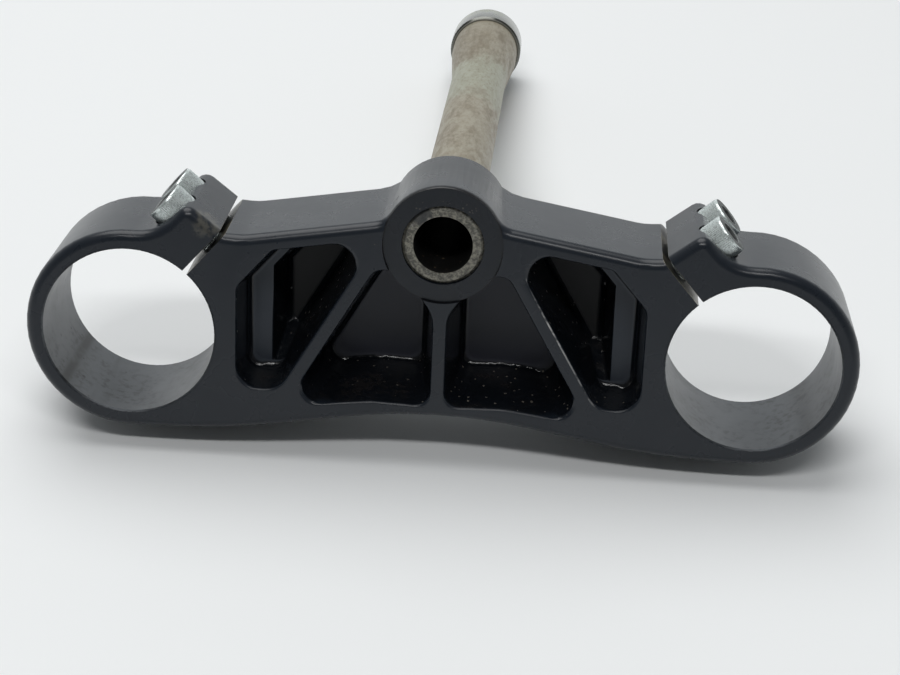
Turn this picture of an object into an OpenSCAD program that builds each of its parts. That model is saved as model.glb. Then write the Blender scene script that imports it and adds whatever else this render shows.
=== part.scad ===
// Lower fork clamp of a motorcycle with its pressed-in steering stem and four pinch bolts.
// It is drawn upright: X across, Y back to the stem, Z up the stem from the pocketed lower face.
// At the end it is laid down on the rear rims of both rings and the far end of the stem.

/* [Fork rings] */
// Distance between the two fork bores
fork_pitch = 194.1; // [180:0.1:220]
// Diameter of each fork bore
fork_bore_d = 54; // [48:0.5:56]
// Wall of each ring
ring_wall = 5.6; // [5:0.1:8]
// Depth of the casting along the forks
clamp_depth = 38.2; // [36:0.1:48]
// Radius of the cast edge round both faces
edge_r = 3; // [1.5:0.1:3]
// Chamfer at both ends of each fork bore
bore_chamfer = 0.6; // [0.2:0.1:1.2]

/* [Pinch ears] */
// Direction of each slot, from straight outboard round to the stem side
slot_angle = 131; // [126:0.5:134]
// Width of each slot
slot_w = 1.8; // [1.5:0.1:3]
// Reach of each ear from the centre of its bore, at the slot
ear_reach = 44.7; // [44:0.1:46]
// Slope of each ear's end face, which reaches further away from the slot
ear_slope = 3; // [0:0.5:6]
// Thickness of each ear, from the middle of the slot
ear_t = 14.3; // [13:0.1:15]
// Corner radius of each ear
ear_corner_r = 3.8; // [3.1:0.1:4.5]
// Radius of the sweep between an ear and its ring
ear_sweep_r = 15; // [10:0.5:16]
// Lean of the ear's inboard edge over the slot
ear_lean = 3; // [0:0.5:6]
// Corner radius of the bridge at the slot
slot_corner_r = 1; // [0.5:0.1:1.5]
// Radius of the bend beside the ear
bend_r = 20; // [10:1:24]

/* [Pinch bolts] */
// Thread diameter of the pinch bolts
bolt_d = 8; // [6:0.5:8]
// Distance of the bolts from the centre of the fork bore
bolt_reach = 36.8; // [36:0.1:38]
// Distance from the lower face to the first bolt
bolt_front = 10.5; // [9.5:0.1:11]
// Distance from the upper face to the second bolt
bolt_back = 10.7; // [9.5:0.1:11]
// Diameter of a bolt head
head_d = 13; // [10:0.1:13.5]
// Height of a bolt head
head_h = 8; // [5:0.1:9]
// Chamfer of a bolt head
head_chamfer = 0.7; // [0.3:0.1:1.2]
// Hexagon across its flats
hex_af = 6; // [4:0.1:7]
// Depth of the hexagon socket
hex_depth = 4.2; // [2:0.1:5]
// Chamfer at the end of a bolt
bolt_point = 1; // [0.5:0.1:1.5]
// Depth of the counterbore under a head
seat_depth = 3; // [2:0.1:4]
// Gap round a head in its counterbore
head_gap = 0.5; // [0.3:0.1:0.8]
// Gap round a bolt in its clearance hole
bolt_gap = 0.4; // [0.2:0.1:0.8]
// Length of thread beyond the middle of the slot
thread_len = 11; // [8:0.1:12]
// Room beyond the end of a bolt in its blind hole
thread_room = 1; // [0.5:0.1:2]
// Height of the drill point at the end of a tapped hole
drill_cone = 1.2; // [0.6:0.1:2]
// Gap between a bolt and its tapped hole
thread_gap = 0.02; // [0.01:0.01:0.05]

/* [Bridge] */
// Distance from the fork bores' line back to the stem
stem_offset = 33.9; // [32:0.1:38]
// Height of the top edge above the stem's centre, if it ran on to the middle
top_rise = 9.7; // [9:0.1:13]
// Place of the bend beside the ear, inboard of the bore's centre
bend_in = 35.5; // [34:0.1:38]
// Place of the bend beside the ear, back from the bores' line
bend_up = 33.1; // [32:0.1:34]
// Forward reach of the front edge at the middle
belly_y = 22.9; // [20:0.1:26]
// Half width of the flat at the middle of the front edge
belly_flat = 14.5; // [12:0.1:20]
// Distance from the bore's centre in to where the front edge starts to rise
belly_in = 27.5; // [25:0.1:32]
// Radius of the two front bends next to the rings
shoulder_r = 240; // [150:5:260]

/* [Stem boss] */
// Radius of the boss round the stem
boss_r = 19; // [18:0.1:20]
// Draft of the boss over the bridge
boss_draft = 2.5; // [0:0.1:4]
// Radius of the milled spot face round the stem
spot_r = 18.5; // [17:0.1:19.5]
// Depth of the spot face
spot_depth = 1.2; // [0.5:0.1:2]
// Blend between boss and bridge at the lower face
blend_front_r = 6; // [4:0.5:8]
// Blend between boss and bridge at the upper face
blend_back_r = 17; // [10:0.5:18]
// Gap left by the press fit of the stem
press_gap = 0.02; // [0.01:0.01:0.05]

/* [Pockets] */
// Width of the middle rib
mid_rib_w = 4.2; // [3:0.1:5]
// Half width of the middle rib's flare at the boss
flare_half_w = 6.2; // [5.5:0.1:7]
// Width of the slanted ribs
rib_w = 4.2; // [3:0.1:6]
// Slope of the slanted ribs
rib_angle = 60; // [56:0.5:64]
// Place where a slanted rib crosses the bores' line
rib_x = 37.5; // [36:0.1:42]
// Rim between the pockets and the rear edge of the bridge
top_rim = 5.1; // [4.5:0.1:7]
// Web between an outer pocket and its fork bore
side_web = 6.8; // [6:0.1:9]
// Wall between an outer pocket and the bolts' tapped holes
bolt_wall = 2.5; // [2:0.1:4]
// Front edge of the outer pockets
outer_front = 16.9; // [14:0.1:18]
// Front edge of the inner pockets at their crest
inner_front = 18.8; // [16:0.1:20]
// Place of the crest in the inner pockets' front edge
crest_x = 21; // [16:0.5:24]
// Slope of the inner pockets' front edge beside the middle rib
rise_slope = 2; // [1:0.5:4]
// Slope of the inner pockets' front edge outboard of its crest
fall_slope = 7; // [4:0.5:9]
// Drop of the inner pockets' front edge at the middle rib
crest_drop = 0.6; // [0.2:0.1:1]
// Radius of the crest in the inner pockets' front edge
crest_r = 30; // [20:1:40]
// Radius of the inner pockets' outer corner
inner_corner_r = 5.9; // [4:0.1:7]
// Radius of the inner pockets' corner under the boss
inner_top_r = 4.6; // [3:0.1:6]
// Radius of the inner pockets' corner at the foot of the middle rib
inner_foot_r = 4.8; // [3:0.1:6]
// Radius of the inner pockets' corner between flare and boss
boss_corner_r = 1.5; // [1:0.1:2]
// Distance from the stem's centre to the place where the flare's half width is taken
flare_back = 16.9; // [15:0.1:18]
// Lean of the middle rib's flare
flare_lean = 34; // [24:0.5:36]
// Radius of the middle rib's flare
flare_r = 10; // [6:1:12]
// Distance of the inner pockets' rear edge from the stem's centre
inner_back = 8.7; // [8:0.1:10]
// Draft of the pocket walls
pocket_draft = 8; // [4:0.5:9]
// Depth of the inner pockets
inner_depth = 27.5; // [20:0.1:30]
// Depth of the outer pockets
outer_depth = 28; // [22:0.1:30]
// Depth of the ledge in the outer pockets
ledge_depth = 14.8; // [10:0.1:16]
// Radius of the outer pockets' corner at the front beside the ring
outer_corner_r = 7.5; // [5:0.1:8]
// Radius of the outer pockets' corner between ring and bolts
ring_corner_r = 4; // [3:0.1:6]
// Radius of the outer pockets' corner next to the bend
bolt_corner_r = 3; // [2:0.1:4]
// Radius of the outer pockets' corner at the slanted rib's rear end
outer_top_r = 7; // [5:0.1:8]
// Radius of the outer pockets' corner at the slanted rib's front end
outer_foot_r = 8; // [5:0.1:8]
// Width of the ledge in the outer pockets
ledge_w = 8; // [5:0.1:9]
// Width of the ledge at its front end
ledge_front = 1.5; // [0.5:0.1:6]
// Width of the ledge beside the bolts
ledge_back = 4; // [2:0.1:6]
// Slope of the recess below the ledge, at its front end
recess_slope = 40; // [20:1:42]
// Draft of the recess beside the ring and the bolts
recess_draft = 14; // [8:1:16]
// Radius of the fillet round the pocket floors
floor_r = 2.4; // [1.5:0.1:3]
// Rounding of the pockets' rims
rim_r = 0.7; // [0.3:0.1:1.2]

/* [Steering stem] */
// Length of the stem from the lower face
stem_len = 257; // [240:0.5:280]
// Diameter of the stem where it is pressed in
stem_d = 25.3; // [22:0.1:28]
// Diameter of the stem's bore
stem_bore_d = 18.3; // [14:0.1:19]
// Distance of the stem's near end from the lower face
stem_recess = 1.7; // [1.2:0.1:3]
// Diameter of the lower bearing seat
seat_d = 29; // [28.6:0.1:31]
// Length of the lower bearing seat
seat_len = 5; // [4:0.1:8]
// Length of the taper above the bearing seat
seat_taper = 14; // [8:0.5:20]
// Diameter of the waist
waist_d = 20.6; // [20.3:0.1:22]
// Distance from the far end back to where the stem flares out again
flare_end = 65; // [63:1:80]
// Length of the flare
flare_len = 38; // [25:1:40]
// Diameter of the neck under the head
neck_d = 25.8; // [24:0.1:27]
// Diameter of the head at the far end
head_end_d = 28.5; // [28:0.1:28.6]
// Length of the head at the far end
head_len = 15; // [10:0.1:18]
// Chamfer of the turned ends
turn_chamfer = 1; // [0.4:0.1:1.5]

/* [Hidden] */
$fn = 96;

half_pitch = fork_pitch / 2;
bore_r = fork_bore_d / 2;
ring_r = bore_r + ring_wall;
seat_s = ear_t - seat_depth;
shank_len = seat_s + thread_len;
eps = 1;
chord_error = 0.07;
same_point = 0.002;
tighten = 0.03;
outer_tighten = 0.03;
recess_share = 0.18;
rim_out = 2.4;
rim_mid = 0.3;
edge_steps = 4;
fillet_steps = 3;
column_in = 0.1;
drill_tip = 0.4;
slot_over = 3;

// Directions of a right-hand slot, of its bolts and of its ear's end face
slot_dir = [cos(slot_angle), sin(slot_angle)];
bolt_dir = [sin(slot_angle), -cos(slot_angle)];
end_dir = [sin(slot_angle - ear_slope), -cos(slot_angle - ear_slope)];
ring_c = [half_pitch, 0];

// Top line of the bridge, from its bend beside the ear to the middle
bend = ring_c + [-bend_in, bend_up];
crest = [0, stem_offset + top_rise];
top_dir = (crest - bend) / norm(crest - bend);
top_normal = [top_dir[1], -top_dir[0]];
top_slope = atan2(top_dir[1], top_dir[0]);

// Plane helpers
function unit_at(a) = [cos(a), sin(a)];
function inward(d) = [-d[1], d[0]];
function turn(a, b) = atan2(a[0] * b[1] - a[1] * b[0], a * b);
function meet(p, d, q, e) =
    p + d * ((q[0] - p[0]) * e[1] - (q[1] - p[1]) * e[0]) / (d[0] * e[1] - d[1] * e[0]);
function steps_for(r, a) =
    r <= 0 ? 1 : max(2, ceil(abs(a) / (2 * acos(1 - min(0.9, chord_error / r)))));

// Arc that rounds the corner p between two edges whose inward normals are n0 and n1
function corner(p, n0, n1, r, steps) =
    let (a = turn(n0, n1), s = sign(a), start = atan2(n0[1], n0[0]))
    let (c = p + (n0 + n1) * s * r / (1 + n0 * n1))
    [for (k = [0:steps]) c - s * r * unit_at(start + a * k / steps)];

// Rounded outline of the vertices [x, y, radius], moved inward by inset
function normals(v) =
    [for (i = [0:len(v) - 1])
        let (a = v[i], b = v[(i + 1) % len(v)], d = [b[0] - a[0], b[1] - a[1]])
        inward(d / norm(d))];
function rounded(v, inset, counts) =
    let (n = normals(v), m = len(v))
    [for (i = [0:m - 1])
        let (n0 = n[(i + m - 1) % m], n1 = n[i])
        let (p = [v[i][0], v[i][1]] + (n0 + n1) * inset / (1 + n0 * n1))
        for (q = corner(p, n0, n1, v[i][2] - sign(turn(n0, n1)) * inset, counts[i])) q];
function outline(v, inset, counts) =
    let (q = rounded(v, inset, counts), m = len(q))
    [for (i = [0:m - 1]) if (norm(q[i] - q[(i + 1) % m]) > same_point) q[i]];
function counts_of(v) =
    let (n = normals(v), m = len(v))
    [for (i = [0:m - 1]) steps_for(v[i][2], turn(n[(i + m - 1) % m], n[i]))];

// Outline of a pocket whose walls are [point, direction], with the corner radius at each wall's end
function pocket_outline(walls, insets, radii, counts) =
    let (m = len(walls))
    [for (i = [0:m - 1])
        let (a = walls[i], b = walls[(i + 1) % m])
        let (d0 = unit_at(a[1]), d1 = unit_at(b[1]), n0 = inward(d0), n1 = inward(d1))
        let (p = meet(a[0] + n0 * insets[i], d0, b[0] + n1 * insets[(i + 1) % m], d1))
        for (q = corner(p, n0, n1, radii[i], counts[i])) q];
function pocket_counts(walls, radii) =
    let (m = len(walls))
    [for (i = [0:m - 1])
        steps_for(radii[i], turn(unit_at(walls[i][1]), unit_at(walls[(i + 1) % m][1])))];

// Triangles between two chains of point numbers that both run from left to right
function zip(p, a, b, i = 0, j = 0) =
    i == len(a) - 1 && j == len(b) - 1 ? [] :
    j == len(b) - 1 || (i < len(a) - 1 && p[a[i + 1]][0] <= p[b[j + 1]][0])
        ? concat([[a[i], a[i + 1], b[j]]], zip(p, a, b, i + 1, j))
        : concat([[a[i], b[j + 1], b[j]]], zip(p, a, b, i, j + 1));

// Cap over an outline that starts in the middle of its front and runs round by the right
function cap(p) =
    let (m = len(p), xs = [for (q = p) q[0]])
    let (right = search(max(xs), xs)[0], left = search(min(xs), xs)[0])
    zip(p, [for (i = [0:(right - left + m) % m]) (left + i) % m],
        [for (i = [1:(left - right + m) % m - 1]) (left - i + m) % m]);

// Solid through a stack of outlines that all have the same number of points
module loft(heights, rings) {
    m = len(rings[0]);
    last = len(rings) - 1;
    points = [for (k = [0:last]) for (p = rings[k]) [p[0], p[1], heights[k]]];
    sides = [for (k = [0:last - 1]) for (i = [0:m - 1]) for (half = [0, 1])
        let (j = (i + 1) % m, a = k * m + i, b = k * m + j, c = (k + 1) * m + j, d = (k + 1) * m + i)
        half == 0 ? [a, d, b] : [b, d, c]];
    low = cap(rings[0]);
    high = [for (t = cap(rings[last])) [for (i = [2:-1:0]) last * m + t[i]]];
    polyhedron(points = points, faces = concat(sides, low, high));
}

// Half of the clamp's outline, from the front at the middle round a ring to the boss
function half_outline(boss, blend) =
    let (sweep_s = ear_t + ear_sweep_r, sweep_d = ring_r + ear_sweep_r)
    let (ring_end = slot_angle - atan2(sweep_s, sqrt(sweep_d * sweep_d - sweep_s * sweep_s)))
    let (part = (ring_end + 90) / 3, out = ring_r / cos(part / 2))
    let (ring_tip = ring_c + ring_r * unit_at(ring_end))
    let (ear_side = ring_c + ear_t * bolt_dir, ear_end = ring_c + ear_reach * slot_dir)
    let (stem_c = [0, stem_offset], drop = (crest - stem_c) * top_normal)
    let (lean = 90 - acos((blend + drop) / (boss + blend)) - atan2(top_normal[0], top_normal[1]))
    let (half_arch = 90 - lean, arch_tip = stem_c + boss * unit_at(lean))
    let (rise = atan2(ring_r - belly_y, half_pitch - belly_in - belly_flat))
    concat(
        [[belly_flat, -belly_y, belly_flat / tan(rise / 2)],
         [half_pitch - belly_in, -ring_r, shoulder_r]],
        [for (k = [0:2])
            let (p = ring_c + out * unit_at((k + 0.5) * part - 90)) [p[0], p[1], ring_r]],
        [for (c = [
            [meet(ring_tip, unit_at(ring_end + 90), ear_side, slot_dir), ear_sweep_r],
            [meet(ear_side, slot_dir, ear_end, end_dir), ear_corner_r],
            [meet(ear_end, end_dir, bend, unit_at(ear_lean)), slot_corner_r],
            [bend, bend_r],
            [meet(bend, top_dir, arch_tip, unit_at(lean + 90)), blend],
            [stem_c + boss / cos(half_arch / 2) * unit_at(90 - half_arch / 2), boss]])
            [c[0][0], c[0][1], c[1]]]);
function whole_outline(boss, blend) =
    let (h = half_outline(boss, blend))
    concat(h, [for (i = [len(h) - 1:-1:0]) [-h[i][0], h[i][1], h[i][2]]]);

// The casting before its pockets and bores, with both faces' edges rounded
module blank() {
    counts = counts_of(whole_outline(boss_r, blend_front_r));
    low = [for (k = [0:edge_steps])
        let (a = 90 * k / edge_steps)
        [edge_r * (1 - cos(a)), edge_r * (1 - sin(a))]];
    high = [for (k = [edge_steps:-1:0]) [clamp_depth - low[k][0], low[k][1]]];
    layers = concat(low, high);
    loft([for (l = layers) l[0]],
        [for (l = layers)
            let (t = l[0] / clamp_depth, blend = blend_front_r + t * (blend_back_r - blend_front_r))
            outline(whole_outline(boss_r - l[0] * tan(boss_draft), blend), l[1], counts)]);
}

// Depths and insets of a drafted wall with a rounded rim and a fillet at the floor
function rim_rows(draft) =
    [[-rim_r, -rim_r * rim_out], [rim_r * rim_mid, -rim_r * rim_mid], [rim_r, rim_r * tan(draft)]];
function floor_rows(depth, draft, r) =
    [for (k = [0:fillet_steps])
        let (a = 90 * k / fillet_steps)
        [depth - r + r * sin(a), (depth - r) * tan(draft) + r * (1 - cos(a))]];

// Inner pocket, between the middle rib and a slanted rib
module inner_pocket() {
    slant = [sin(rib_angle), cos(rib_angle)];
    walls = [
        [[mid_rib_w / 2, -inner_front - crest_drop], rise_slope],
        [[crest_x, -inner_front], -fall_slope],
        [[rib_x, 0] - slant * rib_w / 2, 180 - rib_angle],
        [[0, stem_offset - inner_back], 180],
        [[flare_half_w, stem_offset - flare_back], 270 - flare_lean],
        [[mid_rib_w / 2, 0], 270]];
    radii = [crest_r, inner_corner_r, inner_top_r, boss_corner_r, flare_r, inner_foot_r];
    counts = pocket_counts(walls, radii);
    rows = concat(rim_rows(pocket_draft), floor_rows(inner_depth, pocket_draft, floor_r));
    loft([for (r = rows) r[0]],
        [for (r = rows)
            pocket_outline(walls, [for (w = walls) r[1]],
                [for (q = radii) q * (1 - r[1] * tighten)], counts)]);
}

// Outer pocket, with its ledge beside the ring and the recess below it
module outer_pocket() {
    slant = [sin(rib_angle), cos(rib_angle)];
    bolt_line = ring_c - (thread_len + thread_room + bolt_wall) * bolt_dir;
    walls = [
        [[0, -outer_front], 0],
        [[half_pitch - bore_r - side_web, 0], 90],
        [bolt_line, slot_angle],
        [bend - top_rim * top_normal, top_slope],
        [[rib_x, 0] + slant * rib_w / 2, 360 - rib_angle]];
    rim_radii = [outer_corner_r, ring_corner_r, bolt_corner_r, outer_top_r, outer_foot_r];
    counts = pocket_counts(walls, rim_radii);
    // How far each wall steps in at the ledge: front, ring side, bolt side, rear, rib
    steps_in = [ledge_front, ledge_w, ledge_back, 0, 0];
    slopes = [recess_slope, recess_draft, recess_draft, pocket_draft, pocket_draft];
    recess = outer_depth - ledge_depth;
    upper = concat(rim_rows(pocket_draft), floor_rows(ledge_depth, pocket_draft, floor_r));
    lower = concat([[0, -rim_r], [rim_r * rim_mid, -rim_r * rim_mid], [rim_r, 0]],
        floor_rows(recess, 0, floor_r));
    wall_in = (ledge_depth - floor_r) * tan(pocket_draft);
    heights = concat([for (r = upper) r[0]], [for (r = lower) ledge_depth + r[0]]);
    insets = concat(
        [for (r = upper) [for (i = [0:4])
            steps_in[i] > 0 || r[0] < rim_r ? r[1] : r[0] * tan(pocket_draft)]],
        [for (r = lower) [for (i = [0:4])
            (steps_in[i] > 0 ? wall_in + steps_in[i] : ledge_depth * tan(pocket_draft))
            + (steps_in[i] > 0 || r[1] > 0 ? r[1] : 0)
            + min(r[0], recess - floor_r) * tan(slopes[i])]]);
    shares = concat([for (r = upper) 1 - max(0, r[0]) * outer_tighten],
        [for (r = lower) recess_share * (1 - r[0] / recess / 2)]);
    loft(heights, [for (k = [0:len(heights) - 1])
        pocket_outline(walls, insets[k], [for (q = rim_radii) q * shares[k]], counts)]);
}

// Along a bolt of the right-hand ring, at the given height, with Z pointing to its head
module on_bolt(z) {
    translate([ring_c[0] + bolt_reach * slot_dir[0], bolt_reach * slot_dir[1], z])
        rotate([90, 0, slot_angle])
            children();
}

bolt_heights = [bolt_front, clamp_depth - bolt_back];

// Bore, slot and bolt holes of the right-hand ring
module ring_cuts() {
    translate([ring_c[0], 0, -eps]) cylinder(h = clamp_depth + 2 * eps, r = bore_r);
    translate([ring_c[0], 0, -eps])
        cylinder(h = bore_chamfer + eps, r1 = bore_r + bore_chamfer + eps, r2 = bore_r);
    translate([ring_c[0], 0, clamp_depth - bore_chamfer])
        cylinder(h = bore_chamfer + eps, r1 = bore_r, r2 = bore_r + bore_chamfer + eps);
    translate([ring_c[0], 0, -eps])
        rotate([0, 0, slot_angle])
            translate([bore_r - slot_over, -slot_w / 2, 0])
                cube([ear_reach - bore_r + 2 * slot_over, slot_w, clamp_depth + 2 * eps]);
    for (z = bolt_heights) on_bolt(z) {
        cylinder(h = seat_s + eps, r = bolt_d / 2 + bolt_gap);
        translate([0, 0, seat_s]) cylinder(h = ring_r - seat_s, r = head_d / 2 + head_gap);
        translate([0, 0, -thread_len - thread_room]) {
            cylinder(h = thread_len + thread_room + eps, r = bolt_d / 2 + thread_gap);
            translate([0, 0, -drill_cone])
                cylinder(h = drill_cone, r1 = drill_tip, r2 = bolt_d / 2 + thread_gap);
        }
    }
}

module lower_clamp() {
    color([0.2, 0.21, 0.23])
    difference() {
        union() {
            difference() {
                blank();
                for (side = [0, 1]) mirror([side, 0, 0]) {
                    inner_pocket();
                    outer_pocket();
                }
            }
            translate([0, stem_offset, spot_depth / 2])
                cylinder(h = clamp_depth - spot_depth - edge_r, r = spot_r - column_in);
        }
        for (side = [0, 1]) mirror([side, 0, 0]) ring_cuts();
        translate([0, stem_offset, -eps]) cylinder(h = spot_depth + eps, r = spot_r);
        translate([0, stem_offset, -eps]) cylinder(h = clamp_depth + 2 * eps, r = stem_d / 2 + press_gap);
    }
}

// Turned tube: press fit, bearing seat, waist, flare, neck and head
module steering_stem() {
    seat_z = clamp_depth;
    waist_z = seat_z + seat_len + seat_taper;
    flare_z = stem_len - flare_end;
    neck_z = flare_z + flare_len;
    head_z = stem_len - head_len;
    ch = turn_chamfer;
    color([0.5, 0.46, 0.4])
    translate([0, stem_offset, 0])
        rotate_extrude()
            polygon([
                [stem_bore_d / 2, stem_recess],
                [stem_d / 2 - ch, stem_recess],
                [stem_d / 2, stem_recess + ch],
                [stem_d / 2, seat_z],
                [seat_d / 2, seat_z],
                [seat_d / 2, seat_z + seat_len],
                [waist_d / 2, waist_z],
                [waist_d / 2, flare_z],
                [neck_d / 2, neck_z],
                [neck_d / 2, head_z],
                [head_end_d / 2 - ch, head_z],
                [head_end_d / 2, head_z + ch],
                [head_end_d / 2, stem_len - ch],
                [head_end_d / 2 - ch, stem_len],
                [stem_bore_d / 2, stem_len]]);
}

// Socket head screw with its head up, seated at height zero
module socket_screw() {
    color([0.7, 0.72, 0.66])
    difference() {
        union() {
            cylinder(h = head_h - head_chamfer, d = head_d);
            translate([0, 0, head_h - head_chamfer])
                cylinder(h = head_chamfer, d1 = head_d, d2 = head_d - 2 * head_chamfer);
            translate([0, 0, -shank_len + bolt_point]) cylinder(h = shank_len, d = bolt_d);
            translate([0, 0, -shank_len])
                cylinder(h = bolt_point, d1 = bolt_d - 2 * bolt_point, d2 = bolt_d);
        }
        translate([0, 0, head_h - hex_depth]) cylinder(h = hex_depth + eps, d = hex_af / cos(30), $fn = 6);
    }
}

module pinch_bolt(side, z) {
    mirror([side, 0, 0]) on_bolt(z) translate([0, 0, seat_s]) socket_screw();
}

// Rest position: both rings' rear rims and the lowest edge of the stem's head touch the ground
rim_low = [-(ring_r - edge_r), clamp_depth - edge_r];
head_low = [stem_offset - head_end_d / 2, stem_len - turn_chamfer];
span = head_low - rim_low;
rest_tilt = atan2(span[0], span[1]) + asin(edge_r / norm(span));
lift = head_low[1] * sin(rest_tilt) - head_low[0] * cos(rest_tilt);
near_y = -(ring_r - edge_r) * sin(rest_tilt) + edge_r * cos(rest_tilt) - edge_r;
far_y = (stem_offset + head_end_d / 2 - turn_chamfer) * sin(rest_tilt) + stem_len * cos(rest_tilt);
module at_rest() {
    translate([0, -(near_y + far_y) / 2, lift])
        rotate([-rest_tilt, 0, 0])
            rotate([90, 0, 180])
                children();
}

at_rest() lower_clamp();
at_rest() steering_stem();
at_rest() pinch_bolt(0, bolt_heights[0]);  // pinch_bolt_left_lower
at_rest() pinch_bolt(0, bolt_heights[1]);  // pinch_bolt_left_upper
at_rest() pinch_bolt(1, bolt_heights[0]);  // pinch_bolt_right_lower
at_rest() pinch_bolt(1, bolt_heights[1]);  // pinch_bolt_right_upper
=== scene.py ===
import math

import bmesh
import bpy
from mathutils import Matrix, Vector


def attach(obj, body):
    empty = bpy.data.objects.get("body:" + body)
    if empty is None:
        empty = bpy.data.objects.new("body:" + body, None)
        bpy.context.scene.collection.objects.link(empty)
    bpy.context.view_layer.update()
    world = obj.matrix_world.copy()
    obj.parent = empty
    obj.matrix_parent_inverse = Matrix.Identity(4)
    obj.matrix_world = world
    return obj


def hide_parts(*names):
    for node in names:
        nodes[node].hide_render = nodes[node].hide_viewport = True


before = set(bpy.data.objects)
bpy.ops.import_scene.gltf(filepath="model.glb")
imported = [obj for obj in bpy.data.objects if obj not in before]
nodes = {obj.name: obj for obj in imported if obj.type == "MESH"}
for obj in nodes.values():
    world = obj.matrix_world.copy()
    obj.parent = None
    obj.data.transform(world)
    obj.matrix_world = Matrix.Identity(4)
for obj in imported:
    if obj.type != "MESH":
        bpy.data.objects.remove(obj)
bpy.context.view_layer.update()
mm = 0.001

# Where the part lies: it leans back on its rings' rear rims, so the casting's own axes are turned about X
lie = {
    "tilt": math.radians(13.33396),
    "back": -127.0193 * mm,
    "up": 39.9201 * mm,
}

# The casting's own sizes that the finishes and the screws go by
cast = {
    "boreX": 97.05 * mm,
    "boreR": 27.0 * mm,
    "depth": 38.2 * mm,
    "stemV": 33.9 * mm,
    "spotR": 18.5 * mm,
    "slotAngle": math.radians(131.0),
    "slotHalf": 0.9 * mm,
}


def partPoint(u, v, w):
    # u across, v towards the stem, w up the stem from the pocketed face
    s, c = math.sin(lie["tilt"]), math.cos(lie["tilt"])
    return Vector((u, v * s + w * c + lie["back"], v * c - w * s + lie["up"]))


def feed(tree, socket, value):
    # Links another node's socket, or sets a plain value on the input itself
    if isinstance(value, bpy.types.NodeSocket):
        tree.links.new(value, socket)
    else:
        socket.default_value = value


def addNode(tree, kind, inputs=None, **settings):
    node = tree.nodes.new(kind)
    for name, value in settings.items():
        setattr(node, name, value)
    for key, value in (inputs or {}).items():
        feed(tree, node.inputs[key], value)
    return node


def mapRange(tree, value, low, high, to=(0.0, 1.0), kind="SMOOTHSTEP"):
    inputs = {"Value": value, "From Min": low, "From Max": high, "To Min": to[0], "To Max": to[1]}
    return addNode(tree, "ShaderNodeMapRange", inputs, interpolation_type=kind).outputs[0]


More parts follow.
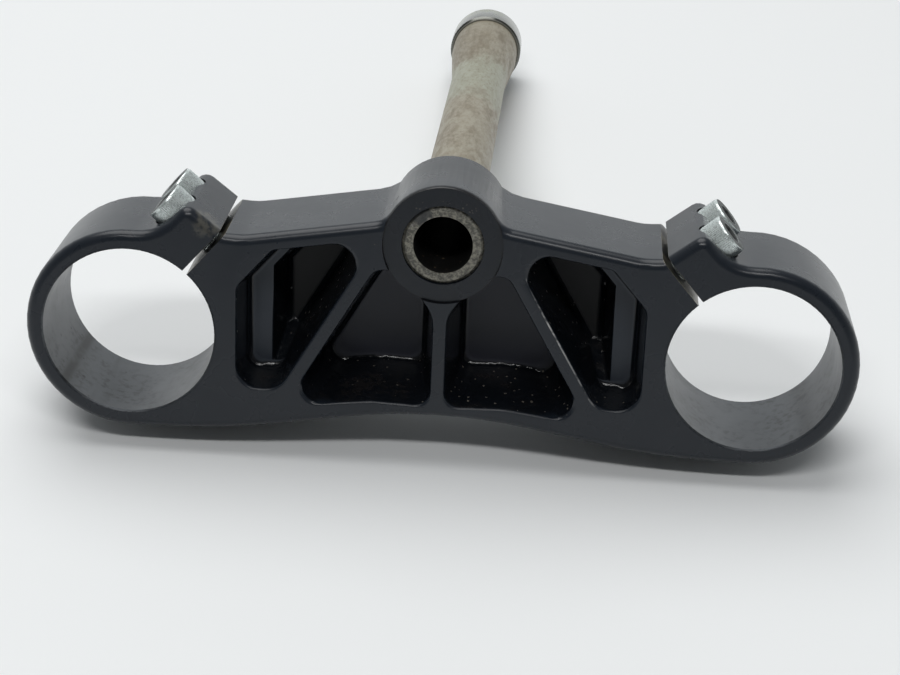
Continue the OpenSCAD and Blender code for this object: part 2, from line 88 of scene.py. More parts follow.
class Shade:
    # A material and short ways to add nodes to it
    def __init__(self, name):
        self.mat = bpy.data.materials.new(name)
        self.mat.use_nodes = True
        self.tree = self.mat.node_tree
        self.tree.nodes.clear()
        self.bsdf = self.add("ShaderNodeBsdfPrincipled")
        self.add("ShaderNodeOutputMaterial", {"Surface": self.bsdf.outputs[0]})
        self.where = self.add("ShaderNodeTexCoord").outputs["Object"]

    def add(self, kind, inputs=None, **settings):
        return addNode(self.tree, kind, inputs, **settings)

    def math(self, kind, *values):
        return self.add("ShaderNodeMath", dict(enumerate(values)), operation=kind).outputs[0]

    def fold(self, kind, values):
        result = values[0]
        for value in values[1:]:
            result = self.math(kind, result, value)
        return result

    def times(self, *values):
        return self.fold("MULTIPLY", values)

    def most(self, *values):
        return self.fold("MAXIMUM", values)

    def sum(self, *values):
        return self.fold("ADD", values)

    def minus(self, a, b):
        return self.math("SUBTRACT", a, b)

    def absolute(self, value):
        return self.math("ABSOLUTE", value)

    def length(self, *parts):
        return self.math("SQRT", self.sum(*(self.times(p, p) for p in parts)))

    def step(self, value, low, high, to=(0.0, 1.0)):
        return mapRange(self.tree, value, low, high, to)

    def under(self, value, limit, soft):
        # 1 below the limit, falling to 0 over a soft edge
        return self.step(value, limit - soft, limit + soft, (1.0, 0.0))

    def over(self, value, limit, soft):
        return self.step(value, limit - soft, limit + soft)

    def between(self, value, low, high, softLow, softHigh):
        return self.times(self.over(value, low, softLow), self.under(value, high, softHigh))

    def mix(self, factor, a, b):
        # Mixes two colours, which are sockets 6 and 7 of the node
        a, b = (color if isinstance(color, bpy.types.NodeSocket) else (*color, 1.0) for color in (a, b))
        return self.add("ShaderNodeMix", {0: factor, 6: a, 7: b}, data_type="RGBA").outputs[2]

    def blend(self, factor, a, b):
        # Mixes two numbers, which are sockets 2 and 3
        return self.add("ShaderNodeMix", {0: factor, 2: a, 3: b}).outputs[0]

    def join(self, u, v, w):
        return self.add("ShaderNodeCombineXYZ", {0: u, 1: v, 2: w}).outputs[0]

    def split(self, vector):
        return self.add("ShaderNodeSeparateXYZ", {0: vector}).outputs[:]

    def normal(self):
        return self.add("ShaderNodeNewGeometry").outputs["Normal"]

    def turned(self, vector):
        # A vector's parts along the casting's own u, v and w
        inputs = {"Vector": vector, "Angle": lie["tilt"]}
        x, y, z = self.split(self.add("ShaderNodeVectorRotate", inputs, rotation_type="X_AXIS").outputs[0])
        return x, z, y

    def partAxes(self):
        # Where the surface is, as u, v and w
        inputs = {0: self.where, 1: (0.0, lie["back"], lie["up"])}
        return self.turned(self.add("ShaderNodeVectorMath", inputs, operation="SUBTRACT").outputs[0])

    def normalAxes(self):
        # Which way the surface looks, along u, v and w
        return self.turned(self.normal())

    def facing(self):
        # How far up the surface looks, from -1 to 1
        return self.split(self.normal())[2]

    def noise(self, scale, detail, rough, at=None):
        inputs = {"Vector": at or self.where, "Scale": scale, "Detail": detail, "Roughness": rough}
        return self.add("ShaderNodeTexNoise", inputs).outputs["Fac"]

    def specks(self, scale, size, share):
        # Ragged specks: round cells bent by noise, of which only a share shows
        bend = self.add("ShaderNodeTexNoise", {"Vector": self.where, "Scale": scale * 2.5})
        inputs = {0: bend.outputs["Color"], 1: [0.5 / scale] * 3, 2: self.where}
        bent = self.add("ShaderNodeVectorMath", inputs, operation="MULTIPLY_ADD")
        cells = self.add("ShaderNodeTexVoronoi", {"Vector": bent.outputs[0], "Scale": scale})
        chance = self.split(cells.outputs["Color"])[0]
        return self.times(self.step(cells.outputs["Distance"], size * 0.6, size, (1.0, 0.0)),
                          self.over(chance, 1.0 - share, 0.01))

    def spot(self, axes, place, radius, ragged):
        # A round mark about a place on the casting, both in millimetres, with a ragged edge
        away = self.length(*(self.minus(a, p * mm) for a, p in zip(axes, place)))
        away = self.sum(away, self.times(self.minus(ragged, 0.5), radius * 1.6 * mm))
        return self.under(away, radius * mm, radius * 0.25 * mm)

    def spots(self, axes, marks, ragged):
        return self.most(*(self.spot(axes, mark[:3], mark[3], ragged) for mark in marks))

    def bump(self, height, strength, distance, after=None):
        inputs = {"Height": height, "Strength": strength, "Distance": distance}
        if after:
            inputs["Normal"] = after
        return self.add("ShaderNodeBump", inputs).outputs[0]

    def finish(self, color, rough, metal, normal, gloss=0.5):
        looks = {"Base Color": color, "Roughness": rough, "Metallic": metal, "Normal": normal,
                 "Specular IOR Level": gloss}
        for name, value in looks.items():
            feed(self.tree, self.bsdf.inputs[name], value)
        return self.mat


def slotTurn(s, x, y):
    # Turns x and y, measured out from a bore, into along its ring's slot and across it
    c, n = math.cos(cast["slotAngle"]), math.sin(cast["slotAngle"])
    return s.sum(s.times(x, c), s.times(y, n)), s.sum(s.times(x, n), s.times(y, -c))


def joinCorner(group, geometry, corner, reach):
    # Merges the points close to a corner, and those close to its mirror image
    place = addNode(group, "GeometryNodeInputPosition")
    x, y, z = addNode(group, "ShaderNodeSeparateXYZ", {0: place.outputs[0]}).outputs
    aside = addNode(group, "ShaderNodeMath", {0: x}, operation="ABSOLUTE")
    oneSide = addNode(group, "ShaderNodeCombineXYZ", {0: aside.outputs[0], 1: y, 2: z})
    away = addNode(group, "ShaderNodeVectorMath", {0: oneSide.outputs[0], 1: corner}, operation="DISTANCE")
    near = addNode(group, "FunctionNodeCompare", {0: away.outputs["Value"], 1: reach},
                   data_type="FLOAT", operation="LESS_THAN")
    joinWithin = 1.6 * reach  # the points lie on both sides of the corner
    inputs = {"Geometry": geometry, "Selection": near.outputs[0], "Distance": joinWithin}
    return addNode(group, "GeometryNodeMergeByDistance", inputs).outputs[0]


# How close points are joined, and how flat faces are made one
clean = {
    "weldWithin": 0.01 * mm,
    "flatWithin": math.radians(0.8),
}


def smoothByAngle(obj, degrees, corner=None):
    # Joins the faces' shared points and smooths every edge flatter than the angle
    group = bpy.data.node_groups.new("smoothByAngle_" + obj.name, "GeometryNodeTree")
    group.interface.new_socket(name="Geometry", in_out="INPUT", socket_type="NodeSocketGeometry")
    group.interface.new_socket(name="Geometry", in_out="OUTPUT", socket_type="NodeSocketGeometry")
    geometry = addNode(group, "NodeGroupInput").outputs[0]
    if corner:
        geometry = joinCorner(group, geometry, *corner)
    inputs = {"Geometry": geometry, "Shade Smooth": True}
    faces = addNode(group, "GeometryNodeSetShadeSmooth", inputs, domain="FACE")
    angle = addNode(group, "GeometryNodeInputMeshEdgeAngle")
    inputs = {0: angle.outputs["Unsigned Angle"], 1: math.radians(degrees)}
    sharp = addNode(group, "FunctionNodeCompare", inputs, data_type="FLOAT", operation="GREATER_THAN")
    inputs = {"Geometry": faces.outputs[0], "Selection": sharp.outputs[0], "Shade Smooth": False}
    edges = addNode(group, "GeometryNodeSetShadeSmooth", inputs, domain="EDGE")
    addNode(group, "NodeGroupOutput", {0: edges.outputs[0]})

    obj.modifiers.new("joined", "WELD").merge_threshold = clean["weldWithin"]
    whole = obj.modifiers.new("wholeFaces", "DECIMATE")  # each flat face in one piece
    whole.decimate_type = "DISSOLVE"
    whole.angle_limit = clean["flatWithin"]
    obj.modifiers.new("smoothByAngle", "NODES").node_group = group
    flat = obj.modifiers.new("flatFaces", "WEIGHTED_NORMAL")  # keeps large flat faces flat
    flat.keep_sharp = True


def dress(obj, mat):
    obj.data.materials.clear()
    obj.data.materials.append(mat)
    for face in obj.data.polygons:
        face.material_index = 0


print("casting")
clamp = {
    "paint": (0.0100, 0.0136, 0.0195),
    "paintWorn": (0.021, 0.025, 0.032),
    # The next four colours are painted light and shade in the pockets: near black walls, lighter floors and
    # ledge, a darker deep recess
    "pocketShade": (0.0045, 0.0058, 0.0080),
    "pocketFloorReflection": (0.0370, 0.0400, 0.0540),
    "ledge": (0.0340, 0.0420, 0.0550),
    "recess": (0.0075, 0.0082, 0.0096),
    # A painted shade line along the milled ring's step
    "spotStepShade": (0.003, 0.003, 0.004),
    "bareMetal": (0.080, 0.086, 0.093),
    "bareStain": (0.030, 0.031, 0.033),
    "slotDirt": (0.170, 0.155, 0.120),
    "dust": (0.20, 0.18, 0.15),
    # A rubbed brownish mark on the left ear's corner, which is also a painted highlight
    "earRubAndHighlight": (0.105, 0.100, 0.082),
    "film": (0.030, 0.024, 0.020),
    # White paint chips, and a painted highlight along the right slanted rib's front edge
    "chipAndGlint": (0.58, 0.58, 0.57),
    "paintRough": 0.28,
    "wallRough": 0.16,
    "floorRough": 0.42,
    "gloss": 0.38,
    "recessGloss": 0.26,
    "boreBevel": 0.35 * mm,  # bare metal goes this far out from the bore
    "rimWear": 0.52 * mm,  # and this far where the paint has worn
    "spotFaceBack": 4 * mm,  # the milled ring round the stem lies in front of this
    "pocketStart": 0.8 * mm,  # behind the face
    "pocketEnd": 1.2 * mm,  # in front of the back
    "pocketSide": 66 * mm,
    "pocketFront": -20.2 * mm,
    "pocketTop": 38.6 * mm,  # above the middle rib
    "topFall": 0.172,  # how fast the top comes down to the sides
    "ledgeBack": (20 * mm, 24 * mm),  # the floors' tone goes from the ledge's to the recess's here
    "ribPlace": (29.3 * mm, 21.9 * mm),  # a point on the middle of a slanted rib
    "ribAcross": (0.8988, 0.4388),  # the direction across that rib
    # The chips along the right slanted rib's front edge are also a painted highlight along it
    "chipAndGlintWidth": 1.8 * mm,  # to each side of the rib's middle
    "chipAndGlintDepth": (0.02 * mm, 0.35 * mm),  # on the rounded edge just behind the face
    "chipAndGlintZone": (-17 * mm, 25 * mm),  # along v, more and more of them from the first to the second of the next entry
    "chipAndGlintMore": (-12 * mm, 14 * mm),
    "clouds": (26.0, 5.0, 0.6),  # noises: scale, detail and roughness
    "patches": (70.0, 3.0, 0.6),
    "fine": (420.0, 4.0, 0.6),
    "streaks": (90.0, 4.0, 0.65),
    "streakStretch": 0.12,
    "orangePeel": (170.0, 2.0, 0.5),
    "castSkin": (230.0, 3.0, 0.6),
    "coarseGrit": (260.0, 0.20, 0.09),  # specks: scale, size and the share that shows
    "smallGrit": (700.0, 0.32, 0.10),
    "ringCrumbs": (1000.0, 0.36, 0.35),
    "strayDust": (210.0, 0.05, 0.10),
    "boreSpecks": (330.0, 0.16, 0.14),
    "crumbR": 15.5 * mm,  # crumbs lie this close round the stem, above crumbFrom
    "crumbFrom": 45 * mm,
    "earRubAndHighlightMark": (-72.2, 36.8, 2.0, 5.0),  # marks: u, v, w and radius
    "chips": [(-51.9, 9.6, 28, 0.9), (-50.2, 7.3, 28, 0.7), (51.3, 15.5, 27, 1.0), (51.1, 10.1, 27, 0.7)],
    "boreMarks": [(-123.7, 4.5, 29.4, 0.5), (-122.3, -9.5, 16.4, 0.6), (-114.0, -21.0, 10.9, 0.7),
                  (-121.6, -11.2, 26.9, 0.5), (-119.6, -14.9, 7.8, 0.4)],
    "boreSmear": (-117.6 * mm, -17.6 * mm),
    "smoothAngle": 32.0,
    "floorCorner": (15.25 * mm, 19.2 * mm, 27.5 * mm),  # the inner pockets' rear corner, joined to one point
    "cornerReach": 0.45 * mm,
}


def pocketMasks(s, side, v, w, nw, stemDistance):
    # 1 in the pockets, behind the face and in front of the back, and 1 on their floors
    top = s.minus(clamp["pocketTop"], s.times(side, clamp["topFall"]))
    behindSpotFace = s.over(w, clamp["spotFaceBack"], mm)
    besideSpotFace = s.over(stemDistance, cast["spotR"] + 0.2 * mm, 0.1 * mm)
    pocket = s.times(s.over(w, clamp["pocketStart"], 0.6 * mm),
                     s.under(side, clamp["pocketSide"], 0.5 * mm),
                     s.over(v, clamp["pocketFront"], 0.4 * mm),
                     s.under(s.minus(v, top), 0.0, 0.4 * mm),
                     s.over(s.minus(cast["depth"] - clamp["pocketEnd"], w), 0.0, 0.2 * mm),
                     s.most(behindSpotFace, besideSpotFace))
    return pocket, s.times(pocket, s.step(nw, -0.97, -0.88, (1.0, 0.0)))


def bareMasks(s, fromBore, v, fine):
    # Where the metal is bare: the bores with their worn rims, and the slots
    distance = s.length(fromBore, v)
    inBore = s.under(distance, cast["boreR"] + clamp["boreBevel"], 0.05 * mm)
    rim = s.times(s.under(distance, cast["boreR"] + clamp["rimWear"], 0.06 * mm), s.over(fine, 0.5, 0.05))
    along, across = slotTurn(s, fromBore, v)
    inSlot = s.times(s.under(s.absolute(across), cast["slotHalf"] + 0.06 * mm, 0.03 * mm),
                     s.over(along, cast["boreR"] + 0.2 * mm, 0.2 * mm))
    return s.most(inBore, rim), inSlot


def ribChipsAndGlint(s, u, v, w, ribLine, fine):
    # Paint chipped off along the front edge of the right slanted rib, with a painted highlight along that
    # edge, more of it towards the stem
    edge = s.times(s.under(s.absolute(ribLine), clamp["chipAndGlintWidth"], 0.3 * mm),
                   s.between(v, *clamp["chipAndGlintZone"], 3 * mm, mm),
                   s.between(w, *clamp["chipAndGlintDepth"], 0.02 * mm, 0.1 * mm),
                   s.over(u, 0.0, mm), s.step(fine, 0.36, 0.56))
    return s.times(edge, s.step(v, *clamp["chipAndGlintMore"], (0.30, 0.75)))


def boreStains(s, axes, clouds, patches, fine):
    # Smears along the fork, a broad one, and small dark marks
    u, v, w = axes
    streaks = s.noise(*clamp["streaks"], at=s.join(u, v, s.times(w, clamp["streakStretch"])))
    streaks = s.times(s.step(streaks, 0.55, 0.80), s.step(clouds, 0.42, 0.66), 0.6)
    mottle = s.times(s.step(fine, 0.46, 0.64), s.step(patches, 0.36, 0.60), 0.65)
    smear = s.length(*(s.minus(a, p) for a, p in zip((u, v), clamp["boreSmear"])))
    smear = s.times(s.step(smear, 0.5 * mm, 2.6 * mm, (0.75, 0.0)), s.step(patches, 0.3, 0.5))
    specks = s.times(s.specks(*clamp["boreSpecks"]), 0.8)
    return s.most(streaks, mottle, smear, specks, s.spots(axes, clamp["boreMarks"], fine))


def paintedCasting():
    s = Shade("satinBlackPaint")
    u, v, w = axes = s.partAxes()
    nw = s.normalAxes()[2]
    side = s.absolute(u)
    stemDistance = s.length(u, s.minus(v, cast["stemV"]))
    fromRib = [s.minus(a, p) for a, p in zip((side, v), clamp["ribPlace"])]
    ribLine = s.sum(*(s.times(a, d) for a, d in zip(fromRib, clamp["ribAcross"])))
    clouds, patches, fine = (s.noise(*clamp[name]) for name in ("clouds", "patches", "fine"))
    bare, inSlot = bareMasks(s, s.minus(side, cast["boreX"]), v, fine)
    pocket, floors = pocketMasks(s, side, v, w, nw, stemDistance)
    lookingUp = s.times(pocket, s.step(s.facing(), 0.2, 0.7))

    # Paint: slow cloudiness, rubbed lighter here and there and on the rounded edges
    rubbed = s.times(s.step(clouds, 0.45, 0.7), s.step(patches, 0.35, 0.7), 0.4)
    rounded = s.times(s.step(nw, -0.97, -0.8), s.step(nw, -0.35, -0.15, (1.0, 0.0)))
    rubbed = s.most(rubbed, s.times(rounded, s.step(patches, 0.5, 0.7), 0.6))
    color = s.mix(rubbed, clamp["paint"], clamp["paintWorn"])
    # A rubbed brownish mark on the left ear's corner, standing in also for a painted highlight there
    mark = clamp["earRubAndHighlightMark"]
    earRubAndHighlight = s.times(s.spot(axes, mark[:3], mark[3], patches), s.step(fine, 0.35, 0.6), 0.6)
    color = s.mix(earRubAndHighlight, color, clamp["earRubAndHighlight"])

    # The milled ring round the stem is darker, mixed towards the near black of the pockets' painted shade,
    # with a fine painted shade line along its step
    spotFace = s.under(stemDistance, cast["spotR"], 0.1 * mm)
    color = s.mix(s.times(spotFace, 0.45), color, clamp["pocketShade"])
    spotStepShade = s.times(s.under(s.absolute(s.minus(stemDistance, cast["spotR"])), 0.25 * mm, 0.15 * mm),
                       s.over(w, 0.3 * mm, 0.2 * mm), s.under(w, clamp["spotFaceBack"], mm))
    color = s.mix(s.times(spotStepShade, 0.9), color, clamp["spotStepShade"])

    # Pockets, in painted light and shade: near black walls as painted shade, greyer floors as painted
    # reflection, and in the outer two a lighter ledge and a darker deep recess
    outer = s.over(ribLine, -1.0 * mm, 0.5 * mm)
    deepLightAndShade = s.mix(outer, clamp["pocketFloorReflection"], clamp["recess"])
    floorLightAndShade = s.mix(s.step(w, *clamp["ledgeBack"]), clamp["ledge"], deepLightAndShade)
    color = s.mix(pocket, color, clamp["pocketShade"])
    color = s.mix(floors, color, floorLightAndShade)

    # Dust, grit and chips, most of them in the pockets and on what looks up, and a painted highlight along
    # the right slanted rib's front edge
    film = s.times(lookingUp, s.step(patches, 0.46, 0.70), s.step(fine, 0.35, 0.65), 0.3)
    color = s.mix(film, color, clamp["film"])
    coarse = s.times(s.specks(*clamp["coarseGrit"]), s.step(patches, 0.44, 0.56))
    small = s.times(s.specks(*clamp["smallGrit"]), s.step(clouds, 0.42, 0.56))
    grit = s.times(s.most(coarse, small), lookingUp)
    crumbs = s.times(s.specks(*clamp["ringCrumbs"]), s.under(stemDistance, clamp["crumbR"], mm),
                     s.over(v, clamp["crumbFrom"], 2 * mm), s.under(w, 2 * mm, 0.4 * mm))
    loose = s.most(grit, s.times(crumbs, 0.45), s.times(s.specks(*clamp["strayDust"]), 0.4))
    color = s.mix(s.times(loose, 0.8), color, clamp["dust"])
    chipsAndGlint = s.most(s.spots(axes, clamp["chips"], fine), ribChipsAndGlint(s, u, v, w, ribLine, fine))
    color = s.mix(chipsAndGlint, color, clamp["chipAndGlint"])

    # Bare metal: dull and stained in the bores, dirty in the slots
    stains = boreStains(s, axes, clouds, patches, fine)
    color = s.mix(bare, color, s.mix(stains, clamp["bareMetal"], clamp["bareStain"]))
    color = s.mix(inSlot, color, s.mix(s.step(patches, 0.45, 0.6), clamp["slotDirt"], clamp["bareStain"]))

    rough = s.blend(pocket, s.sum(s.times(patches, 0.10), clamp["paintRough"] - 0.05),
                    s.sum(s.times(fine, 0.16), clamp["wallRough"] - 0.06))
    rough = s.blend(floors, rough, clamp["floorRough"])
    rough = s.blend(s.most(loose, film), rough, 0.6)
    rough = s.blend(s.most(bare, inSlot), rough, s.sum(s.times(patches, 0.20), 0.22))
    metal = s.most(s.times(bare, 0.7), s.times(inSlot, 0.6))
    recess = s.times(floors, outer, s.over(w, 22 * mm, 2 * mm))
    gloss = s.blend(recess, clamp["gloss"], clamp["recessGloss"])

    normal = s.bump(s.noise(*clamp["orangePeel"]), 0.12, 0.25 * mm)
    normal = s.bump(s.times(s.noise(*clamp["castSkin"]), lookingUp), 0.6, 0.7 * mm, normal)
    normal = s.bump(s.minus(loose, chipsAndGlint), 0.6, 0.3 * mm, normal)
    return s.finish(color, rough, metal, normal, gloss)


dress(nodes["lower_clamp"], paintedCasting())
corner = (partPoint(*clamp["floorCorner"]), clamp["cornerReach"])
smoothByAngle(nodes["lower_clamp"], clamp["smoothAngle"], corner)

print("stem")
stem = {
    "bare": (0.310, 0.278, 0.206),
    "brown": (0.145, 0.112, 0.064),
    "green": (0.330, 0.340, 0.262),
    "polished": (0.34, 0.345, 0.325),
    # A painted dark reflection on the head's shoulder
    "shoulderDarkReflection": (0.090, 0.092, 0.082),
    "endGrey": (0.240, 0.230, 0.190),
    "endDark": (0.070, 0.068, 0.058),
    "endLight": (0.42, 0.41, 0.38),
    "blackPaint": (0.030, 0.032, 0.034),
    # Painted shade inside the stem's bore
    "boreShade": (0.0045, 0.0042, 0.0040),
    "tan": (0.22, 0.17, 0.11),
    "boreR": 9.35 * mm,  # with its bevel
    "endFace": 2.9 * mm,  # the near end's face and bevel end here
    "boreStart": 2.1 * mm,
    "paintPlace": (-7.0 * mm, 43.2 * mm),
    "paintR": 3.0 * mm,
    "greenZone": (142 * mm, 196 * mm),
    "brownZone": (200 * mm, 236 * mm),
    "neckStart": 232 * mm,
    "shoulderStart": 241.6 * mm,
    "shoulderFade": (243 * mm, 253 * mm),
    "headStart": 242.3 * mm,
    "zoneWander": 60 * mm,  # how far the zones' borders stray along the tube
    "stretch": 0.38,  # marks are drawn out along the tube
    "blotch": (85.0, 4.0, 0.6),
    "mottle": (330.0, 5.0, 0.7),
    "fine": (950.0, 4.0, 0.7),
    "boreCrumbs": (520.0, 0.26, 0.16),
    "crumbTop": 33 * mm,  # they lie at the bottom of the bore
    "smoothAngle": 40.0,
}


def stemSteel():
    s = Shade("agedStemSteel")
    u, v, w = s.partAxes()
    radius = s.length(u, s.minus(v, cast["stemV"]))
    drawnOut = s.join(u, v, s.times(w, stem["stretch"]))
    blotch, mottle, fine = (s.noise(*stem[name], at=drawnOut) for name in ("blotch", "mottle", "fine"))

    # Along the tube: brown mottling, a grey-green zone, brown again and a cleaner neck
    wander = s.sum(w, s.times(s.minus(blotch, 0.5), stem["zoneWander"]))
    green = s.between(wander, *stem["greenZone"], 12 * mm, 10 * mm)
    neck = s.over(wander, stem["neckStart"], 8 * mm)
    color = s.mix(s.times(green, 0.85), stem["bare"], stem["green"])
    rusty = s.times(s.step(mottle, 0.36, 0.64), s.step(blotch, 0.25, 0.55))
    rusty = s.times(rusty, s.minus(1.0, s.times(s.most(green, neck), 0.75)))
    color = s.mix(s.times(rusty, 0.75), color, stem["brown"])
    color = s.mix(s.times(s.step(fine, 0.48, 0.72), 0.55), color, stem["brown"])
    upper = s.between(wander, *stem["brownZone"], 8 * mm, 6 * mm)
    color = s.mix(s.times(upper, s.step(blotch, 0.35, 0.6), 0.5), color, stem["brown"])

    # Head: polished, with a painted dark reflection on its shoulder that fades up the head
    head = s.over(w, stem["headStart"], 0.2 * mm)
    color = s.mix(head, color, s.mix(s.step(blotch, 0.5, 0.7), stem["polished"], stem["green"]))
    shoulderDarkReflection = s.times(s.over(w, stem["shoulderStart"], 0.3 * mm),
                       s.step(w, *stem["shoulderFade"], (1.0, 0.0)))
    color = s.mix(s.times(shoulderDarkReflection, 0.8), color, stem["shoulderDarkReflection"])

    # Near end: a coarse grey face, a lick of black paint on it, and painted shade inside the bore with tan
    # crumbs
    face = s.under(w, stem["endFace"], 0.15 * mm)
    grain = s.mix(s.step(fine, 0.42, 0.62), stem["endDark"], stem["endGrey"])
    grain = s.mix(s.times(s.step(mottle, 0.56, 0.70), 0.5), grain, stem["endLight"])
    color = s.mix(face, color, grain)
    lick = s.length(*(s.minus(a, p) for a, p in zip((u, v), stem["paintPlace"])))
    lick = s.sum(lick, s.times(s.minus(mottle, 0.5), 5 * mm))
    color = s.mix(s.times(face, s.under(lick, stem["paintR"], 0.5 * mm), 0.85), color, stem["blackPaint"])
    inside = s.times(s.under(radius, stem["boreR"], 0.08 * mm), s.over(w, stem["boreStart"], 0.15 * mm))
    crumbs = s.times(s.specks(*stem["boreCrumbs"]), s.under(v, stem["crumbTop"], 6 * mm))
    color = s.mix(inside, color, s.mix(crumbs, stem["boreShade"], stem["tan"]))

    rough = s.sum(s.times(mottle, 0.35), 0.28)
    rough = s.blend(head, rough, s.sum(s.times(fine, 0.12), 0.14))
    rough = s.blend(s.most(face, inside), rough, 0.55)
    metal = s.blend(head, s.blend(s.most(face, inside), 0.35, 0.15), 0.95)
    normal = s.bump(mottle, 0.25, 0.15 * mm)
    normal = s.bump(fine, 0.20, 0.10 * mm, normal)
    return s.finish(color, rough, metal, normal)


dress(nodes["steering_stem"], stemSteel())
smoothByAngle(nodes["steering_stem"], stem["smoothAngle"])

print("screws")
screw = {
    "reach": 36.8 * mm,  # from the bore's middle along the slot
    "heights": {"lower": 10.5 * mm, "upper": 27.5 * mm},
    "seat": 11.3 * mm,  # from the slot's middle to the head's underside
    "headR": 6.48 * mm,
    "headH": 7.98 * mm,
    "footIn": 0.5 * mm,  # how far in the underside ends
    "footBevel": (0.35 * mm, 0.12 * mm),  # up and in
    "bandIn": 0.1 * mm,  # the plain band above the knurls
    "bandTop": 0.85 * mm,  # below the head's top, as knurlTo is
    "edgeRound": 0.6 * mm,
    "edgeSteps": 4,
    "knurls": 66,
    "knurlDepth": 0.16 * mm,
    "knurlShape": (0.0, 0.55, 1.0, 0.55),
    "knurlFrom": 0.6 * mm,
    "knurlTo": 1.2 * mm,
    "socketFlat": 3.0 * mm,
    "socketDepth": 4.2 * mm,
    "mouth": (1.22, 1.12),  # the bevel's top and bottom radius, as shares of the half flat
    "mouthDepth": 0.28 * mm,
    "flatsFrom": 0.6 * mm,
    "drillDepth": 0.5 * mm,  # below the flats
    "socketShadeR": 3.62 * mm,  # the socket and its mouth are darkened as painted shade this far out
    "shankR": 3.99 * mm,
    "shankLength": 22.28 * mm,
    "shankTop": 0.1 * mm,  # just inside the head
    "shankSides": 40,
    "pitch": 1.25 * mm,
    "turnSteps": 8,  # rings of points in one turn of the thread
    "threadDepth": 0.6 * mm,
    "threadStart": 9.0 * mm,
    "grooveSlope": 2.6,
    "point": 1.0 * mm,
    "smoothAngle": 38.0,
    "zinc": (0.74, 0.80, 0.785),
    "zincDull": (0.30, 0.33, 0.32),
    # The darker end face, and painted shade in the socket
    "darkEndSocketShade": (0.040, 0.042, 0.042),
    "blotch": (240.0, 4.0, 0.6),
    "fine": (2000.0, 3.0, 0.6),
}


def zincPlate():
    s = Shade("dullZincPlate")
    u, v, w = s.partAxes()
    nu, nv = s.normalAxes()[:2]
    along = s.minus(slotTurn(s, s.minus(s.absolute(u), cast["boreX"]), v)[0], screw["reach"])
    radius = s.math("MINIMUM", *(s.length(along, s.minus(w, z)) for z in screw["heights"].values()))
    endward = slotTurn(s, s.times(nu, s.math("SIGN", u)), nv)[1]
    blotch, fine = (s.noise(*screw[name]) for name in ("blotch", "fine"))
    color = s.mix(s.step(blotch, 0.56, 0.80), screw["zinc"], screw["zincDull"])
    color = s.mix(s.times(s.step(fine, 0.48, 0.62), 0.6), color, screw["zincDull"])

    # The end face is darker, and the socket is darkened as painted shade
    darkEndAndSocket = s.times(s.step(endward, 0.70, 0.95), s.step(blotch, 0.30, 0.60, (1.0, 0.85)))
    darkEndAndSocket = s.most(darkEndAndSocket, s.under(radius, screw["socketShadeR"], 0.1 * mm))
    color = s.mix(darkEndAndSocket, color, screw["darkEndSocketShade"])
    rough = s.sum(s.times(blotch, 0.3), s.times(darkEndAndSocket, 0.35), 0.14)
    return s.finish(color, rough, s.blend(darkEndAndSocket, 0.75, 0.1), s.bump(fine, 0.25, 0.08 * mm))


def ringOf(mesh, z, radii):
    n = len(radii)
    return [mesh.verts.new((r * math.cos(2 * math.pi * i / n), r * math.sin(2 * math.pi * i / n), z))
            for i, r in enumerate(radii)]


def bridgeRings(mesh, rings):
    for low, high in zip(rings, rings[1:]):
        n = len(low)
        for i in range(n):
            j = (i + 1) % n
            mesh.faces.new((low[i], low[j], high[j], high[i]))


def hexRadii(flat, n):
    # A hexagon's radius in each of n directions
    turns = [(2 * math.pi * i / n + math.pi / 6) % (math.pi / 3) - math.pi / 6 for i in range(n)]
    return [flat / math.cos(turn) for turn in turns]


def headRings(mesh):
    # Underside, knurled side, rounded top edge, then down into the hexagon
    shape = screw["knurlShape"]
    n = screw["knurls"] * len(shape)
    r, h, edge, flat = screw["headR"], screw["headH"], screw["edgeRound"], screw["socketFlat"]
    band = r - screw["bandIn"]
    knurled = [r - screw["knurlDepth"] * shape[i % len(shape)] for i in range(n)]
    hexagon = hexRadii(flat, n)
    bottom = h - screw["socketDepth"]
    footUp, footIn = screw["footBevel"]
    mouthTop, mouthBottom = (flat * share for share in screw["mouth"])
    outline = [(0.0, screw["shankR"] * 0.9), (0.0, r - screw["footIn"]), (footUp, r - footIn),
               (screw["knurlFrom"], knurled), (h - screw["knurlTo"], knurled), (h - screw["bandTop"], band)]
    for k in range(1, screw["edgeSteps"] + 1):
        a = math.pi / 2 * k / screw["edgeSteps"]
        outline.append((h - edge * (1 - math.sin(a)), band - edge * (1 - math.cos(a))))
    outline += [(h, mouthTop), (h - screw["mouthDepth"], [max(mouthBottom, q) for q in hexagon]),
                (h - screw["flatsFrom"], hexagon), (bottom, hexagon),
                (bottom - screw["drillDepth"], flat * 0.5)]
    return [ringOf(mesh, z, radii if isinstance(radii, list) else [radii] * n) for z, radii in outline]


def shankRings(mesh):
    # Plain under the head, then a turned thread down to its pointed end
    n = screw["shankSides"]
    length, pitch = screw["shankLength"], screw["pitch"]
    steps = int(length / pitch * screw["turnSteps"])
    rings = [ringOf(mesh, screw["shankTop"], [screw["shankR"] * 0.85] * n)]
    for k in range(steps + 1):
        z = -length * k / steps
        cut = screw["threadDepth"] * min(1.0, max(0.0, (-z - screw["threadStart"]) / pitch))
        end = max(0.0, screw["point"] - (length + z))
        phases = [(z / pitch - i / n) % 1.0 for i in range(n)]
        grooves = [max(0.0, 1.0 - abs(phase - 0.5) * screw["grooveSlope"]) for phase in phases]
        rings.append(ringOf(mesh, z, [screw["shankR"] - cut * groove - end for groove in grooves]))
    return rings


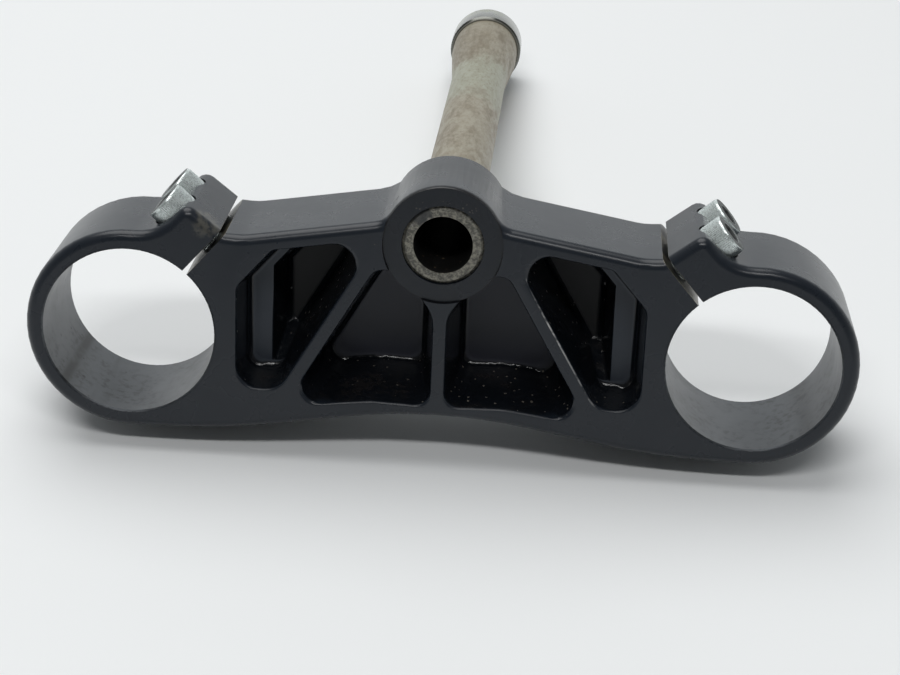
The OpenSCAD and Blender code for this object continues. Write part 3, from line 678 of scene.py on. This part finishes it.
def screwMesh(name):
    mesh = bmesh.new()
    head = headRings(mesh)
    bridgeRings(mesh, head)
    mesh.faces.new(head[-1])
    shank = shankRings(mesh)
    bridgeRings(mesh, shank)
    for end in (shank[-1], shank[0], head[0]):
        mesh.faces.new(end)
    bmesh.ops.recalc_face_normals(mesh, faces=mesh.faces)
    data = bpy.data.meshes.new(name)
    mesh.to_mesh(data)
    mesh.free()
    return data


def placeScrew(side, level, mat):
    sign = -1 if side == "left" else 1
    c, s = math.cos(cast["slotAngle"]), math.sin(cast["slotAngle"])

    def at(along, across):
        u = cast["boreX"] + along * c + across * s
        return partPoint(sign * u, along * s - across * c, screw["heights"][level])

    seat = at(screw["reach"], screw["seat"])
    z = (at(screw["reach"], screw["seat"] + mm) - seat).normalized()
    x = (at(screw["reach"] + mm, screw["seat"]) - seat).normalized()
    place = Matrix((x, z.cross(x), z)).transposed().to_4x4()
    place.translation = seat
    name = "screw_" + side + "_" + level
    obj = bpy.data.objects.new(name, screwMesh(name))
    bpy.context.scene.collection.objects.link(obj)
    obj.data.transform(place)
    obj.data.materials.append(mat)
    smoothByAngle(obj, screw["smoothAngle"])
    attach(obj, "root")
    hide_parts("pinch_bolt_" + side + "_" + level)


zinc = zincPlate()
for side in ("left", "right"):
    for level in ("lower", "upper"):
        placeScrew(side, level, zinc)

print("studio")
studio = {
    "floor": (0.835, 0.848, 0.850),
    "floorLift": 0.01,  # how much lighter its lightest places are
    "floorRough": 0.9,
    "floorGloss": 0.2,
    "floorSize": 9.0,
    "floorClouds": (3.0, 2.0, 0.55),
    "floorGrain": (700.0, 2.0, 0.5),
    "skyColor": (0.95, 0.985, 1.0, 1.0),
    "skyFront": 0.22,
    "skyBack": 1.0,
    "skyTop": 0.38,
    "frontToBack": (-0.6, 0.75),  # where the sky goes from front to back, along Y
    "sideToTop": (0.06, 0.60),  # and from the sides to the top, along Z
    "lampsAim": (0.0, -0.05, 0.03),
    "stripPower": 6.0,
    "stripSize": (0.95, 0.12),
    "stripPlace": (0.0, -0.75, 1.25),
    "fillPower": 24.0,
    "fillSize": 1.8,
    "fillPlace": (-0.35, 0.55, 1.75),
}


def paleFloor():
    s = Shade("paleFloor")
    lighter = [c + studio["floorLift"] for c in studio["floor"]]
    color = s.mix(s.noise(*studio["floorClouds"]), studio["floor"], lighter)
    normal = s.bump(s.noise(*studio["floorGrain"]), 0.05, 0.2 * mm)
    return s.finish(color, studio["floorRough"], 0.0, normal, studio["floorGloss"])


half = studio["floorSize"] / 2
corners = [(-half, -half, 0), (half, -half, 0), (half, half, 0), (-half, half, 0)]
floorMesh = bpy.data.meshes.new("floor")
floorMesh.from_pydata(corners, [], [(0, 1, 2, 3)])
floor = bpy.data.objects.new("floor", floorMesh)
bpy.context.scene.collection.objects.link(floor)
floorMesh.materials.append(paleFloor())


def softSky():
    # Brighter behind the part, dimmer in front of it and overhead
    world = bpy.data.worlds.new("studio")
    bpy.context.scene.world = world
    world.use_nodes = True
    tree = world.node_tree
    tree.nodes.clear()
    coords = addNode(tree, "ShaderNodeTexCoord")
    split = addNode(tree, "ShaderNodeSeparateXYZ", {0: coords.outputs["Generated"]})
    levels = (studio["skyFront"], studio["skyBack"])
    fade = mapRange(tree, split.outputs[1], *studio["frontToBack"], levels, "LINEAR")
    loss = mapRange(tree, split.outputs[2], *studio["sideToTop"], (1.0, studio["skyTop"]))
    strength = addNode(tree, "ShaderNodeMath", {0: fade, 1: loss}, operation="MULTIPLY")
    inputs = {"Color": studio["skyColor"], "Strength": strength.outputs[0]}
    light = addNode(tree, "ShaderNodeBackground", inputs)
    addNode(tree, "ShaderNodeOutputWorld", {"Surface": light.outputs[0]})


def areaLight(name, place, size, power):
    data = bpy.data.lights.new(name, "AREA")
    if isinstance(size, tuple):
        data.shape = "RECTANGLE"
        data.size, data.size_y = size
    else:
        data.shape = "DISK"
        data.size = size
    data.energy = power
    lamp = bpy.data.objects.new(name, data)
    bpy.context.scene.collection.objects.link(lamp)
    lamp.location = place
    aim = Vector(studio["lampsAim"]) - Vector(place)
    lamp.rotation_euler = aim.to_track_quat("-Z", "Y").to_euler()


softSky()
areaLight("stripLamp", studio["stripPlace"], studio["stripSize"], studio["stripPower"])
areaLight("fillLamp", studio["fillPlace"], studio["fillSize"], studio["fillPower"])

print("camera")
view = {
    "place": (36.0194 * mm, -661.0362 * mm, 423.5589 * mm),
    "right": (0.996861, 0.076148, 0.021670),
    "up": (-0.060750, 0.560192, 0.826132),
    "lens": 85.188,
    "sensor": 36.0,
    "shiftY": -75 / 2 / 900,  # centred above the lowest 75 rows of a picture 900 wide
}
right = Vector(view["right"]).normalized()
up = Vector(view["up"]).normalized()
turn = Matrix((right, up, right.cross(up))).transposed().to_4x4()
cameraData = bpy.data.cameras.new("camera")
cameraData.sensor_width = view["sensor"]
cameraData.lens = view["lens"]
cameraData.shift_y = view["shiftY"]
camera = bpy.data.objects.new("camera", cameraData)
bpy.context.scene.collection.objects.link(camera)
camera.matrix_world = Matrix.Translation(view["place"]) @ turn
bpy.context.scene.camera = camera
bpy.context.scene.view_settings.view_transform = "Standard"

print("done")
